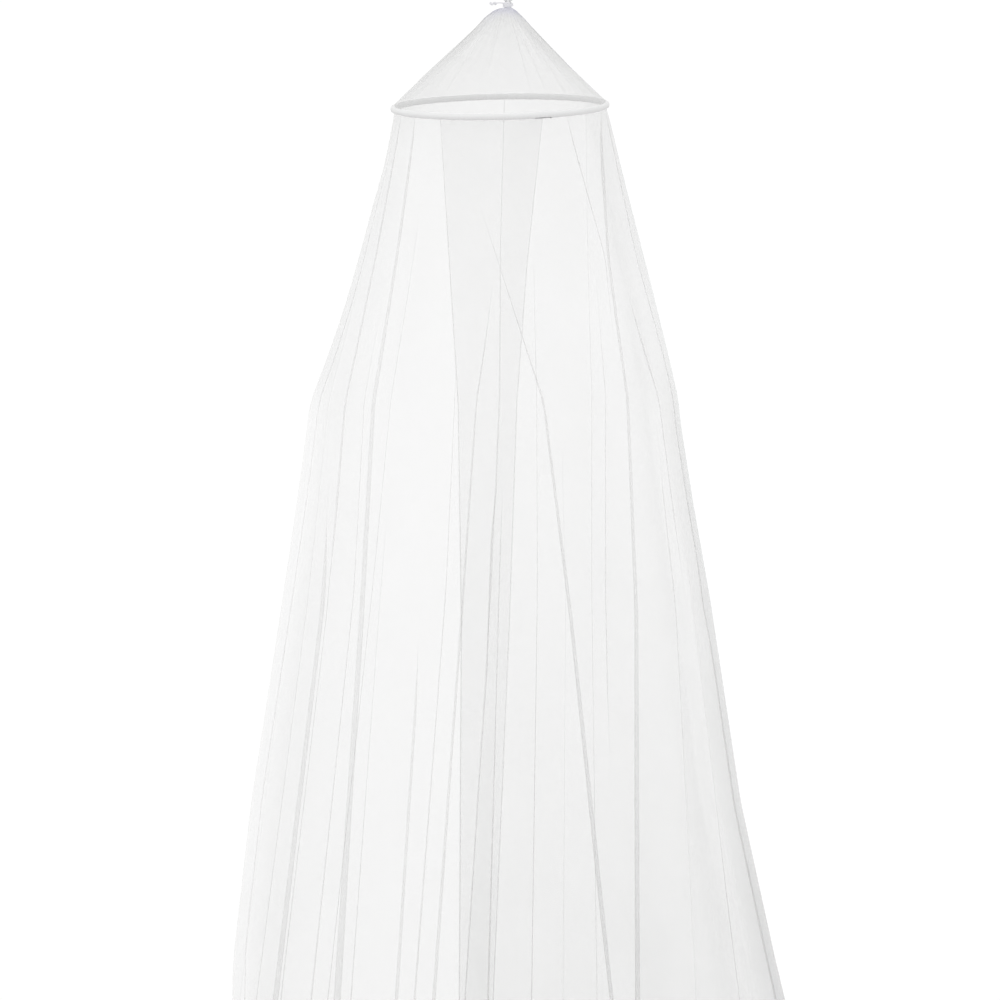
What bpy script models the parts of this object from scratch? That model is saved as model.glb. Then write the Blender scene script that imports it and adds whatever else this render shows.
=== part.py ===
"""Mosquito net canopy: a round net hung from a loop, its hoop carried in a sewn casing.

Metres, +Z up.  The origin is where the hook bears inside the hanging loop, the front is -Y, and the
opening is at the front, where the right panel's edge laps over the left panel's.
"""
import math
from collections import namedtuple

import bmesh
import bpy
from mathutils import Matrix

# --- driving sizes -----------------------------------------------------------------------------
HOOP_OUTSIDE = 0.550        # across the casing
CASING_RADIUS = 0.008
HOOP_ROD_RADIUS = 0.006
CLEARANCE = 0.0003          # between pieces that touch
HOOP_RADIUS = HOOP_OUTSIDE / 2 - CASING_RADIUS
HOOP_DROP = 0.330           # hook to the hoop's plane
HOOP_ASIDE = -0.020         # the hoop's middle, to the left of the hook
HOOP_ROLL = math.radians(-1.18)   # the hoop hangs a little low on its left

CLOTH = 0.0015              # thickness of the net as built
CASING_CLOTH = CASING_RADIUS - HOOP_ROD_RADIUS - CLEARANCE
EDGE_GAP = CASING_RADIUS + CLEARANCE + 0.0001   # hoop's plane to the net's sewn edge
SEAM_GAP = 0.0005           # between the two panels at the back seam

JOINER_AT = math.radians(23.0)    # from the front towards the right
JOINER_LENGTH = 0.044
JOINER_RADIUS = 0.0074
CASING_GAP = JOINER_LENGTH + 0.0012

NECK_RISE = 0.2505          # hoop's plane to the gathered neck
NECK_RADIUS = 0.0081        # middle of the cloth in the tied neck
TIE_CORD = 0.0044
TIE_TURNS = 3
TIE_MARGIN = 0.0012         # of plain neck beyond each end of the tie
LOOP_CORD = 0.0050
LOOP_STRAND = 0.0045        # each strand from the middle, inside the neck
LOOP_HALF_WIDTH = 0.0115    # at the widest, to the middle of the cord

# Half-widths of the hanging skirt at each drop below the hoop; swing scales the folds.
Level = namedtuple("Level", "drop left right deep swing")
SKIRT = [
    Level(EDGE_GAP, 0.267, 0.267, 0.267, 0.10),
    Level(0.050, 0.273, 0.277, 0.273, 0.24),
    Level(0.135, 0.289, 0.296, 0.286, 0.34),
    Level(0.250, 0.321, 0.324, 0.312, 0.42),
    Level(0.370, 0.352, 0.354, 0.342, 0.50),
    Level(0.500, 0.389, 0.386, 0.373, 0.58),
    Level(0.620, 0.429, 0.414, 0.401, 0.66),
    Level(0.740, 0.474, 0.441, 0.430, 0.74),
    Level(0.810, 0.483, 0.448, 0.441, 0.76),
    Level(1.000, 0.509, 0.478, 0.465, 0.80),
    Level(1.260, 0.548, 0.524, 0.498, 0.85),
    Level(1.770, 0.628, 0.602, 0.560, 0.92),
    Level(2.160, 0.673, 0.688, 0.598, 1.00),
    Level(2.450, 0.681, 0.757, 0.620, 1.05),
]
POSITION_DROPS = (EDGE_GAP, 0.370, 0.740, 1.260, 2.450)   # where a fold's place across is given
TILT_DROPS = (EDGE_GAP, 0.740, 2.450)       # each level slopes down to the back, most at the kink
TILTS = (0.0, 0.115, 0.0)
FOLD_CHANGES_OVER = 0.30    # of drop, over which a fold grows or goes
STEEP = 0.010               # a fold's outer side falls away over about this
OVERHANG = 0.7              # how far a crest leans over its outer side, for its depth
FOLD_REACH = 0.985          # the farthest place of a fold, as a share of the half-width

# Each fold: its place across at the hoop, above the kink, at the kink, below it and at the hem; how
# deep it is at the hem; how far it fades on its inner side; the drops at which it starts and ends.
Fold = namedtuple("Fold", "side hoop upper kink lower hem depth fade starts ends", defaults=(0, 0, 0, 0))
LEFT_EDGE = Fold("front", 0.106, 0.069, 0.043, 0.025, -0.028)
LEFT_FOLDS = [
    Fold("front", 0.030, -0.008, -0.060, -0.098, -0.189, 0.024, 0.08, starts=0.30),
    Fold("front", -0.150, -0.165, -0.173, -0.197, -0.280, 0.020, 0.12, starts=1.20),
    Fold("front", -0.212, -0.261, -0.319, -0.350, -0.432, 0.034, 0.14),
    Fold("front", -0.247, -0.313, -0.388, -0.432, -0.579, 0.020, 0.16),
    Fold("front", -0.258, -0.335, -0.410, -0.449, -0.599, 0.017, 0.04, starts=0.90),
    Fold("front", -0.266, -0.352, -0.464, -0.528, -0.684, 0.007, 0.10),
    Fold("back", -0.262, -0.335, -0.436, -0.492, -0.645, 0.009, 0.08, starts=0.30),
    Fold("back", -0.200, -0.272, -0.348, -0.378, -0.502, 0.013, 0.10, starts=0.45),
    Fold("back", -0.170, -0.216, -0.280, -0.331, -0.458, 0.012, 0.09, starts=0.20),
    Fold("back", -0.150, -0.198, -0.260, -0.309, -0.396, 0.012, 0.08, starts=0.95),
    Fold("back", -0.080, -0.096, -0.117, -0.141, -0.230, 0.016, 0.12, starts=0.45),
]
BACK_SEAM = Fold("back", 0.011, 0.001, -0.001, -0.022, -0.095)
RIGHT_EDGE = Fold("front", -0.149, -0.127, -0.105, -0.097, -0.104)
RIGHT_FOLDS = [
    Fold("front", -0.122, -0.004, 0.110, 0.179, 0.312, 0.034, 0.16, starts=0.10),
    Fold("front", 0.166, 0.262, 0.296, 0.320, 0.326, 0.014, 0.08, ends=0.40),
    Fold("front", 0.252, 0.272, 0.320, 0.343, 0.349, 0.026, 0.10),
    Fold("front", 0.256, 0.280, 0.382, 0.440, 0.502, 0.008, 0.07, starts=0.70),
    Fold("front", 0.260, 0.290, 0.398, 0.468, 0.600, 0.014, 0.04, starts=0.34, ends=1.00),
    Fold("front", 0.265, 0.340, 0.439, 0.510, 0.735, 0.016, 0.10),
    Fold("back", 0.240, 0.322, 0.410, 0.488, 0.634, 0.007, 0.10, starts=0.90),
    Fold("back", 0.226, 0.236, 0.272, 0.274, 0.300, 0.012, 0.03, starts=0.35, ends=1.50),
    Fold("back", 0.216, 0.223, 0.236, 0.238, 0.256, 0.011, 0.08),
    Fold("back", 0.130, 0.146, 0.155, 0.170, 0.166, 0.010, 0.08, starts=0.70),
    Fold("back", 0.070, 0.084, 0.095, 0.098, 0.084, 0.014, 0.05, starts=0.25),
    Fold("back", 0.045, 0.050, 0.054, 0.053, 0.044, 0.008, 0.04, starts=0.85),
    Fold("back", 0.030, 0.020, 0.014, -0.001, -0.030, 0.018, 0.016, starts=0.85),
]

# Broad waves between the folds: how many go round, how far they reach, and where they start.
Wave = namedtuple("Wave", "count reach turn")
WAVES = [Wave(5, 0.010, 1.1), Wave(9, 0.010, 0.4), Wave(14, 0.007, 2.0)]
NEAR_FOLD = 0.010           # the columns on each side of a fold
COLUMN_SPACING = 0.075      # at most, between the other columns
CREST_STEPS = 5             # rounds of moving the folds to their places across
LARGEST_MOVE = 0.08         # radians, in one round
LEAST_APART = 0.02          # radians, between two folds
LEAST_SLOPE = 0.15

LAP_AT_HOOP = 0.0030        # each lapped panel's distance from the shared surface
LAP_BELOW = 0.0130
LAP_FULL_BELOW = 0.20
LAP_FADES_FROM, LAP_FADES_TO = 0.55, 1.15       # radians round from the front

# The roof, from its sewn edge up to the tied neck and the bunch above it.
Ring = namedtuple("Ring", "rise radius pleat aside")
ROOF = [
    Ring(EDGE_GAP + CLOTH / 3, 0.2660, 0.0, 1.0),
    Ring(0.037, 0.2370, 0.15, 1.00),
    Ring(0.077, 0.1955, 0.55, 0.91),
    Ring(0.117, 0.1511, 0.90, 0.75),
    Ring(0.158, 0.1068, 1.00, 0.62),
    Ring(0.198, 0.0670, 0.80, 0.50),
    Ring(0.224, 0.0434, 0.55, 0.48),
    Ring(0.240, 0.0245, 0.30, 0.38),
    Ring(0.2470, 0.0140, 0.10, 0.25),
    Ring(NECK_RISE - TIE_MARGIN, NECK_RADIUS, 0.0, 0.0),
    Ring(NECK_RISE + TIE_TURNS * TIE_CORD + TIE_MARGIN, NECK_RADIUS, 0.0, 0.0),
    Ring(NECK_RISE + TIE_TURNS * TIE_CORD + 0.007, NECK_RADIUS + 0.003, 0.1, 0.0),
]
# Each pleat: its turn from the front towards the right in degrees, and its depth and width.
Pleat = namedtuple("Pleat", "turn depth width")
ROOF_PLEATS = [
    Pleat(-75, 0.010, 0.012), Pleat(-60, 0.009, 0.008), Pleat(-37, 0.011, 0.006), Pleat(-14, 0.007, 0.007),
    Pleat(4, 0.005, 0.008), Pleat(19, 0.011, 0.006), Pleat(30, 0.008, 0.008), Pleat(44, 0.012, 0.006),
    Pleat(54, 0.009, 0.006), Pleat(78, 0.010, 0.012), Pleat(112, 0.010, 0.010), Pleat(146, 0.008, 0.009),
    Pleat(188, 0.009, 0.008), Pleat(221, 0.010, 0.010), Pleat(256, 0.009, 0.009),
]
PLEAT_SIDE = math.radians(3.0)      # the columns on each side of a pleat

# The tie's free end, from the middle of the neck at half its height.
TAIL_CORD = 0.0034
TAIL_RISE = 0.0095
TAIL = [(-0.0090, -0.0050, 0.0), (-0.0150, -0.0085, 0.0015), (-0.0230, -0.0095, 0.0020),
        (-0.0310, -0.0095, 0.0012), (-0.0374, -0.0090, 0.0)]
KNOT_SIZE = (0.0078, 0.0052, 0.0046)

HOOP_STEPS = 72
JOINER_STEPS = 6
TIE_STEPS = 16
LOOP_STEPS = 8
ROUND_SIDES = 8


# --- shared helpers ----------------------------------------------------------------------------
def clear_scene():
    for item in list(bpy.data.objects):
        bpy.data.objects.remove(item, do_unlink=True)


def new_collection(name):
    collection = bpy.data.collections.new(name)
    bpy.context.scene.collection.children.link(collection)
    return collection


def make_material(name, colour, roughness, metallic=0.0):
    material = bpy.data.materials.new(name)
    material.use_nodes = True
    shader = material.node_tree.nodes["Principled BSDF"]
    shader.inputs["Base Color"].default_value = (*colour, 1.0)
    shader.inputs["Roughness"].default_value = roughness
    shader.inputs["Metallic"].default_value = metallic
    return material


def make_object(name, data, collection, material):
    thing = bpy.data.objects.new(name, data)
    thing.data.materials.append(material)
    collection.objects.link(thing)
    return thing


def smooth_step(value):
    value = min(max(value, 0.0), 1.0)
    return value * value * (3.0 - 2.0 * value)


def interpolate(value, places, amounts):
    if value <= places[0]:
        return amounts[0]
    for low, high, start, end in zip(places, places[1:], amounts, amounts[1:]):
        if value <= high:
            return start + (end - start) * (value - low) / (high - low)
    return amounts[-1]


def hoop_lift(across):
    """Height of the tilted hoop's plane at a place across, from its middle."""
    return -math.tan(HOOP_ROLL) * across


def grid_mesh(name, rows, closed):
    """A mesh over rows of points; closed joins the last column to the first."""
    count = len(rows[0])
    points = [point for row in rows for point in row]
    faces = []
    for row in range(len(rows) - 1):
        for column in range(count if closed else count - 1):
            following = (column + 1) % count
            low, high = row * count, (row + 1) * count
            faces.append((low + column, high + column, high + following, low + following))
    mesh = bpy.data.meshes.new(name)
    mesh.from_pydata(points, [], faces)
    mesh.update()
    return mesh


def thicken(thing, thickness, offset=0.0):
    solidify = thing.modifiers.new("thickness", "SOLIDIFY")
    solidify.thickness = thickness
    solidify.offset = offset
    solidify.use_rim = True


def shade_smooth(mesh):
    mesh.shade_smooth()
    mesh.set_sharp_from_angle(angle=math.radians(50))


def tube_curve(name, points, radius, cyclic=False):
    """A round cord through the points, with its ends filled."""
    curve = bpy.data.curves.new(name, "CURVE")
    curve.dimensions = "3D"
    curve.bevel_depth = radius
    curve.bevel_resolution = 2
    curve.use_fill_caps = True
    spline = curve.splines.new("POLY")
    spline.points.add(len(points) - 1)
    for place, point in zip(spline.points, points):
        place.co = (*point, 1.0)
    spline.use_cyclic_u = cyclic
    return curve


# --- hoop, joiner and casing -------------------------------------------------------------------
def at_hoop(start=0.0):
    """The hoop's own frame: its middle, its tilt, and a turn about its axis."""
    middle = Matrix.Translation((HOOP_ASIDE, 0, -HOOP_DROP))
    return middle @ Matrix.Rotation(HOOP_ROLL, 4, "Y") @ Matrix.Rotation(start, 4, "Z")


def from_front(angle):
    """Angle about Z of a place given from the front towards the right."""
    return angle - math.pi / 2


def make_hoop(collection, material):
    """The rod, bent round until its two ends meet inside the joiner."""
    half_gap = CLEARANCE / HOOP_RADIUS
    start = from_front(JOINER_AT) + half_gap
    sweep = 2 * math.pi - 2 * half_gap
    points = []
    for step in range(HOOP_STEPS + 1):
        turn = start + sweep * step / HOOP_STEPS
        points.append((HOOP_RADIUS * math.cos(turn), HOOP_RADIUS * math.sin(turn), 0))
    hoop = make_object("hoop", tube_curve("hoop", points, HOOP_ROD_RADIUS), collection, material)
    hoop.matrix_world = at_hoop()


def make_arc_shell(name, collection, material, radius, wall, start, sweep, steps):
    """A tube wall along part of the hoop: a circle turned about Z, then thickened inwards."""
    shape = bmesh.new()
    ring = []
    for side in range(ROUND_SIDES):
        turn = 2 * math.pi * side / ROUND_SIDES
        ring.append(shape.verts.new((HOOP_RADIUS + radius * math.cos(turn), 0, -radius * math.sin(turn))))
    for side in range(ROUND_SIDES):
        shape.edges.new((ring[side - 1], ring[side]))
    mesh = bpy.data.meshes.new(name)
    shape.to_mesh(mesh)
    shape.free()
    shell = make_object(name, mesh, collection, material)
    screw = shell.modifiers.new("turn", "SCREW")
    screw.angle = sweep
    screw.steps = steps
    screw.render_steps = steps
    screw.merge_threshold = 0.00001
    thicken(shell, wall, offset=-1.0)
    shell.matrix_world = at_hoop(start)


def make_casing(collection, material):
    gap = CASING_GAP / HOOP_RADIUS
    start = from_front(JOINER_AT) + gap / 2
    make_arc_shell("hoop_casing", collection, material, CASING_RADIUS, CASING_CLOTH,
                   start, 2 * math.pi - gap, HOOP_STEPS)


def make_joiner(collection, material):
    sweep = JOINER_LENGTH / HOOP_RADIUS
    wall = JOINER_RADIUS - HOOP_ROD_RADIUS - CLEARANCE
    make_arc_shell("hoop_joiner", collection, material, JOINER_RADIUS, wall,
                   from_front(JOINER_AT) - sweep / 2, sweep, JOINER_STEPS)


# --- skirt -------------------------------------------------------------------------------------
def half_width(level, across):
    return level.right if across > 0 else level.left


def girth(level):
    """The mean radius at a level, which turns angles into distances along the cloth."""
    return (level.left + level.right + 2 * level.deep) / 4


def fold_across(fold, level):
    across = interpolate(level.drop, POSITION_DROPS, (fold.hoop, fold.upper, fold.kink, fold.lower, fold.hem))
    return max(-FOLD_REACH * level.left, min(FOLD_REACH * level.right, across))


def fold_angle(fold, level):
    """Where a fold lies on the plain oval, from the front (0) to the right (+) or to the left (-)."""
    across = fold_across(fold, level)
    angle = math.asin(across / half_width(level, across))
    return angle if fold.side == "front" else math.pi - angle


def fold_height(distance, fade):
    """A fold's rise: a crest at 0, steep behind it, and a slow fade over the distance ahead of it."""
    behind = math.exp(min(0.0, distance) / STEEP)
    return behind * max(0.0, 1.0 - max(0.0, distance) / fade) ** 2


def fold_depth(fold, level):
    grown = smooth_step((level.drop - fold.starts) / FOLD_CHANGES_OVER) if fold.starts else 1.0
    gone = smooth_step((level.drop - fold.ends) / FOLD_CHANGES_OVER) if fold.ends else 0.0
    return fold.depth * level.swing * grown * (1.0 - gone)


def skirt_point(level, angle, placed, side):
    """A point of the skirt: the oval at this level, pushed out by the lap, the waves and the folds."""
    wide = half_width(level, math.sin(angle))
    across, along = wide * math.sin(angle), -level.deep * math.cos(angle)
    out_x, out_y = math.sin(angle) / wide, -math.cos(angle) / level.deep
    length = math.hypot(out_x, out_y)
    push = side * interpolate(level.drop, (0, LAP_FULL_BELOW), (LAP_AT_HOOP, LAP_BELOW))
    push *= 1.0 - smooth_step((abs(angle) - LAP_FADES_FROM) / (LAP_FADES_TO - LAP_FADES_FROM))
    push += level.swing * sum(wave.reach * math.sin(wave.count * angle + wave.turn) for wave in WAVES)
    aside = 0.0
    for fold, place in placed:
        fades_to = -side if fold.side == "front" else side
        distance = fades_to * (angle - place) * girth(level)
        rise = fold_depth(fold, level) * fold_height(distance, fold.fade)
        push += rise
        aside -= fades_to * OVERHANG * abs(math.cos(place)) * rise
    x = across + (push * out_x - aside * out_y) / length
    y = along + (push * out_y + aside * out_x) / length
    top = hoop_lift(x) * (1.0 - level.drop / SKIRT[-1].drop)
    front_up = -y * interpolate(level.drop, TILT_DROPS, TILTS)
    return (x + HOOP_ASIDE, y, -HOOP_DROP - level.drop + top + front_up)


def move_crest(line, angle, level, placed, side):
    """The angle that brings a line nearer its place across, kept on its own side, front or back."""
    slope = half_width(level, math.sin(angle)) * math.cos(angle)
    slope = math.copysign(max(abs(slope), LEAST_SLOPE), slope)
    away = fold_across(line, level) + HOOP_ASIDE - skirt_point(level, angle, placed, side)[0]
    moved = angle + max(-LARGEST_MOVE, min(LARGEST_MOVE, away / slope))
    return moved if (math.cos(moved) > 0) == (math.cos(angle) > 0) else angle


def panel_stops(level, edge, folds, side):
    """The angles of the front edge, the folds in order and the back seam, each crest at its place."""
    lines = [edge, *folds, BACK_SEAM]
    whole_turn = 0.0 if side > 0 else 2 * math.pi
    angles = [fold_angle(line, level) - (whole_turn if line.side == "back" else 0.0) for line in lines]
    for _ in range(CREST_STEPS):
        placed = list(zip(folds, angles[1:-1]))
        angles = [move_crest(line, angle, level, placed, side) for line, angle in zip(lines, angles)]
        for place in range(1, len(angles)):
            angles[place] = side * max(side * angles[place], side * angles[place - 1] + LEAST_APART)
    angles[-1] -= side * SEAM_GAP / 2 / level.deep
    return angles


def between_stops(table):
    """How many middle columns each stretch between two stops needs, at its widest level."""
    counts = []
    for place in range(len(table[0]) - 1):
        widest = max(abs(stops[place + 1] - stops[place]) * girth(level)
                     for stops, level in zip(table, SKIRT))
        counts.append(math.floor(widest / COLUMN_SPACING))
    return counts


def make_panel(name, collection, material, edge, folds, side):
    """One panel from its front edge round to the back seam; side is +1 right and outer, -1 left."""
    table = [panel_stops(level, edge, folds, side) for level in SKIRT]
    counts = between_stops(table)
    rows = []
    for stops, level in zip(table, SKIRT):
        angles = []
        for start, end, count in zip(stops, stops[1:], counts):
            near = min(0.3, NEAR_FOLD / girth(level) / abs(end - start))
            parts = [near + (1.0 - 2.0 * near) * step / (count + 1) for step in range(count + 2)]
            angles += [start + (end - start) * part for part in (0.0, *parts)]
        angles.append(stops[-1])
        placed = list(zip(folds, stops[1:-1]))
        rows.append([skirt_point(level, angle, placed, side) for angle in angles[::side]])
    mesh = grid_mesh(name, rows, closed=False)
    shade_smooth(mesh)
    thicken(make_object(name, mesh, collection, material), CLOTH)


# --- roof --------------------------------------------------------------------------------------
def roof_turns():
    """The roof's columns: each pleat, a column on each side of it, and one half-way to the next."""
    pleats = [from_front(math.radians(pleat.turn)) for pleat in ROOF_PLEATS]
    turns = []
    for turn, following in zip(pleats, [*pleats[1:], pleats[0] + 2 * math.pi]):
        turns += [turn - PLEAT_SIDE, turn, turn + PLEAT_SIDE, (turn + following) / 2]
    return turns


def roof_radius(ring, turn):
    radius = ring.radius
    for pleat in ROOF_PLEATS:
        away = turn - from_front(math.radians(pleat.turn))
        aside = abs(math.remainder(away, 2 * math.pi)) * ring.radius
        radius += pleat.depth * ring.pleat * math.exp(-aside / pleat.width)
    return radius


def make_roof(collection, material):
    """The roof: a cone that gathers into the tied neck, with the bunched end above the tie."""
    rows = []
    for ring in reversed(ROOF):
        to_hoop = max(0.0, 1.0 - ring.rise / NECK_RISE)
        row = []
        for turn in roof_turns():
            radius = roof_radius(ring, turn)
            x, y = radius * math.cos(turn), radius * math.sin(turn)
            rise = ring.rise + hoop_lift(x) * to_hoop
            row.append((x + HOOP_ASIDE * ring.aside, y, rise - HOOP_DROP))
        rows.append(row)
    mesh = grid_mesh("roof", rows, closed=True)
    shade_smooth(mesh)
    thicken(make_object("roof", mesh, collection, material), CLOTH)


# --- tie and hanging loop ----------------------------------------------------------------------
def make_tie(collection, cutters, material):
    """The cord wound round the neck, and its short free end with a knot in it."""
    bottom = NECK_RISE - HOOP_DROP
    inner = NECK_RADIUS + CLOTH / 2 + CLEARANCE
    cord = TIE_CORD / 2
    top = bottom + TIE_TURNS * TIE_CORD
    profile = [(inner, top), (inner + cord, top)]
    for turn in range(TIE_TURNS):
        middle = top - (turn + 0.5) * TIE_CORD
        for step in range(1, 4):
            bend = math.pi * step / 4
            profile.append((inner + cord + cord * math.sin(bend), middle + cord * math.cos(bend)))
        profile.append((inner + cord, middle - cord))
    profile.append((inner, bottom))
    mesh = bpy.data.meshes.new("tie")
    edges = [(place, (place + 1) % len(profile)) for place in range(len(profile))]
    mesh.from_pydata([(x, 0, z) for x, z in profile], edges, [])
    tie = make_object("tie", mesh, collection, material)
    screw = tie.modifiers.new("turn", "SCREW")
    screw.steps = TIE_STEPS
    screw.render_steps = TIE_STEPS
    screw.use_merge_vertices = True
    screw.merge_threshold = 0.00001
    tail_z = bottom + TAIL_RISE
    points = [(x, y, tail_z + z) for x, y, z in TAIL]
    curve = make_object("tail", tube_curve("tail", points, TAIL_CORD / 2), cutters, material)
    add_union(tie, solid_from_curve(curve, cutters))
    bpy.ops.mesh.primitive_uv_sphere_add(segments=12, ring_count=8, radius=1.0)
    knot = bpy.context.object
    knot.name = "tail_knot"
    for vertex in knot.data.vertices:
        vertex.co = [value * size for value, size in zip(vertex.co, KNOT_SIZE)]
    knot.location = points[-1]
    for owner in list(knot.users_collection):
        owner.objects.unlink(knot)
    cutters.objects.link(knot)
    knot.data.materials.append(material)
    add_union(tie, knot)


def solid_from_curve(curve_object, collection):
    """A closed mesh object from a curve, its caps welded on."""
    bpy.context.view_layer.update()
    evaluated = curve_object.evaluated_get(bpy.context.evaluated_depsgraph_get())
    mesh = bpy.data.meshes.new_from_object(evaluated)
    shape = bmesh.new()
    shape.from_mesh(mesh)
    bmesh.ops.remove_doubles(shape, verts=shape.verts, dist=0.00001)
    shape.to_mesh(mesh)
    shape.free()
    solid = bpy.data.objects.new(curve_object.name + "_solid", mesh)
    solid.matrix_world = curve_object.matrix_world
    collection.objects.link(solid)
    bpy.data.objects.remove(curve_object, do_unlink=True)
    return solid


def add_union(target, other):
    other.hide_render = True
    other.display_type = "WIRE"
    union = target.modifiers.new("join " + other.name, "BOOLEAN")
    union.operation = "UNION"
    union.object = other


def make_loop(collection, material):
    """The hanging loop: two strands out of the neck that meet over the hook."""
    arc_middle = LOOP_CORD / 2 - LOOP_HALF_WIDTH
    foot = NECK_RISE - HOOP_DROP
    spread_from = ROOF[-1].rise - HOOP_DROP
    right = [(LOOP_STRAND, 0, foot)]
    for step in range(LOOP_STEPS + 1):
        part = step / LOOP_STEPS
        width = LOOP_STRAND + (LOOP_HALF_WIDTH - LOOP_STRAND) * smooth_step(part)
        right.append((width, 0, spread_from + (arc_middle - spread_from) * part))
    arc = [(LOOP_HALF_WIDTH * math.cos(math.pi * step / LOOP_STEPS), 0,
            arc_middle + LOOP_HALF_WIDTH * math.sin(math.pi * step / LOOP_STEPS))
           for step in range(1, LOOP_STEPS)]
    left = [(-x, y, z) for x, y, z in reversed(right)]
    make_object("hanging_loop", tube_curve("hanging_loop", right + arc + left, LOOP_CORD / 2),
                collection, material)


def main():
    clear_scene()
    canopy = new_collection("mosquito_net_canopy")
    cutters = new_collection("cutters")
    net = make_material("white net", (0.86, 0.86, 0.86), 0.85)
    casing = make_material("white casing cloth", (0.83, 0.83, 0.83), 0.8)
    rod = make_material("white hoop rod", (0.80, 0.80, 0.80), 0.35)
    grey = make_material("grey joiner plastic", (0.45, 0.45, 0.46), 0.45)
    cord = make_material("white cord", (0.80, 0.80, 0.82), 0.8)
    make_loop(canopy, cord)
    make_tie(canopy, cutters, cord)
    make_roof(canopy, net)
    make_hoop(canopy, rod)
    make_joiner(canopy, grey)
    make_casing(canopy, casing)
    make_panel("left_panel", canopy, net, LEFT_EDGE, LEFT_FOLDS, side=-1)
    make_panel("right_panel", canopy, net, RIGHT_EDGE, RIGHT_FOLDS, side=1)


main()
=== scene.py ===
"""The looks of the mosquito net canopy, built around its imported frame.

Metres, +Z up.  The hook bears inside the hanging loop at the origin, and the front is -Y.
"""
import math
from collections import namedtuple

import bmesh
import bpy
import numpy as np
from mathutils import Matrix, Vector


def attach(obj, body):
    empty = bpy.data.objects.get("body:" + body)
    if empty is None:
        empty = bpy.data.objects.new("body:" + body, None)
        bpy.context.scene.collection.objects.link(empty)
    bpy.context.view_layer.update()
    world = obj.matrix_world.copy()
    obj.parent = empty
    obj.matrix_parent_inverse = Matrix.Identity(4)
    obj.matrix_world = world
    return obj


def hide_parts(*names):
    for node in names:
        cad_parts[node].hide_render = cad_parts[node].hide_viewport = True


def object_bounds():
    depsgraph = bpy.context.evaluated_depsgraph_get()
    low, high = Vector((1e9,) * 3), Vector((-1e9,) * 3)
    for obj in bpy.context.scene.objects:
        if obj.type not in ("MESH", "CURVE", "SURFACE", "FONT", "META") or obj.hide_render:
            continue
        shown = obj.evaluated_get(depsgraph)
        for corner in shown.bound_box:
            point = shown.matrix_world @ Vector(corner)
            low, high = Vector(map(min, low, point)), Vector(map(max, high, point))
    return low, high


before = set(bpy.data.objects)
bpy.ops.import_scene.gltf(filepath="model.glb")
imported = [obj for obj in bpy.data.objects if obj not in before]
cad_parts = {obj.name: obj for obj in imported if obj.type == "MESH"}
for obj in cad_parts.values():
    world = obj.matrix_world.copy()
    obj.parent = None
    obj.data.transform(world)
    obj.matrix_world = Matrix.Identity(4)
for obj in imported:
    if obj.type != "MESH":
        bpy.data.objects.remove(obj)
CAD_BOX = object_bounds()

# --- sizes shared with the solids ----------------------------------------------------------------
LEFT, RIGHT = -1, 1         # the two panels' sides
CLOTH = 0.0015              # the thickness of the solids' cloth
CLEARANCE = 0.0003
CASING_RADIUS = 0.008
HOOP_RADIUS = 0.267         # to the middle of the rod
HOOP_DROP = 0.330           # from the hook down to the hoop's middle
HOOP_ASIDE = -0.020
HOOP_ROLL = math.radians(-1.18)         # low on the left
EDGE_GAP = 0.0084           # the net's edges lie about this far above and below the hoop's middle
JOINER_AT = math.radians(23.0)          # from the front towards the right
JOINER_LENGTH = 0.044
NECK_RISE = 0.2505          # from the hoop's middle up to the foot of the tie
NECK_RADIUS = 0.0081
NECK_MARGIN = 0.0012        # the neck goes on this far past the tie
LIP_RISE, LIP_FLARE = 0.007, 0.003      # and opens above it
TIE_CORD = 0.0044
TIE_TURNS = 3               # the tie's height, in cords
TIE_TOP = NECK_RISE + TIE_TURNS * TIE_CORD
TAIL_CORD = 0.0034
TAIL_RISE = 0.0095          # the tail leaves the tie this far above the tie's foot
TAIL = [                    # its route from there to its knot
    (-0.0090, -0.0050, 0.0),
    (-0.0150, -0.0085, 0.0015),
    (-0.0230, -0.0095, 0.0020),
    (-0.0310, -0.0095, 0.0012),
    (-0.0374, -0.0090, 0.0),
]
LOOP_CORD = 0.0050
LOOP_STRAND = 0.0045        # from the middle to each strand, in the neck
LOOP_HALF_WIDTH = 0.0115    # and near the hook

# The skirt's outline down from the hoop: its half-widths, its half-depth, and the share of their
# full depth that its waves and folds have.
Level = namedtuple("Level", "drop left right deep swing")
SKIRT = [
    Level(EDGE_GAP, 0.267, 0.267, 0.267, 0.10),
    Level(0.050, 0.273, 0.277, 0.273, 0.24),
    Level(0.135, 0.289, 0.296, 0.286, 0.34),
    Level(0.250, 0.321, 0.324, 0.312, 0.42),
    Level(0.370, 0.352, 0.354, 0.342, 0.50),
    Level(0.500, 0.389, 0.386, 0.373, 0.58),
    Level(0.620, 0.429, 0.414, 0.401, 0.66),
    Level(0.740, 0.474, 0.441, 0.430, 0.74),
    Level(0.810, 0.483, 0.448, 0.441, 0.76),
    Level(1.000, 0.509, 0.478, 0.465, 0.80),
    Level(1.260, 0.548, 0.524, 0.498, 0.85),
    Level(1.770, 0.628, 0.602, 0.560, 0.92),
    Level(2.160, 0.673, 0.688, 0.598, 1.00),
    Level(2.450, 0.681, 0.757, 0.620, 1.05),
]
HEM_DROP = SKIRT[-1].drop
TILT_DROPS = (EDGE_GAP, 0.740, HEM_DROP)
TILTS = (0.0, 0.115, 0.0)               # how steeply a row rises towards the front
TOP_DROPS = (0.0, 0.12, 0.37, 0.74)
TOP_SWINGS = (2.2, 1.9, 1.3, 1.0)       # near the hoop the folds keep more depth than the waves
FOLD_CHANGES_OVER = 0.30                # the height over which a fold grows or fades away
FOLD_REACH = 0.985                      # of the half-width: no fold lies further out
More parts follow.
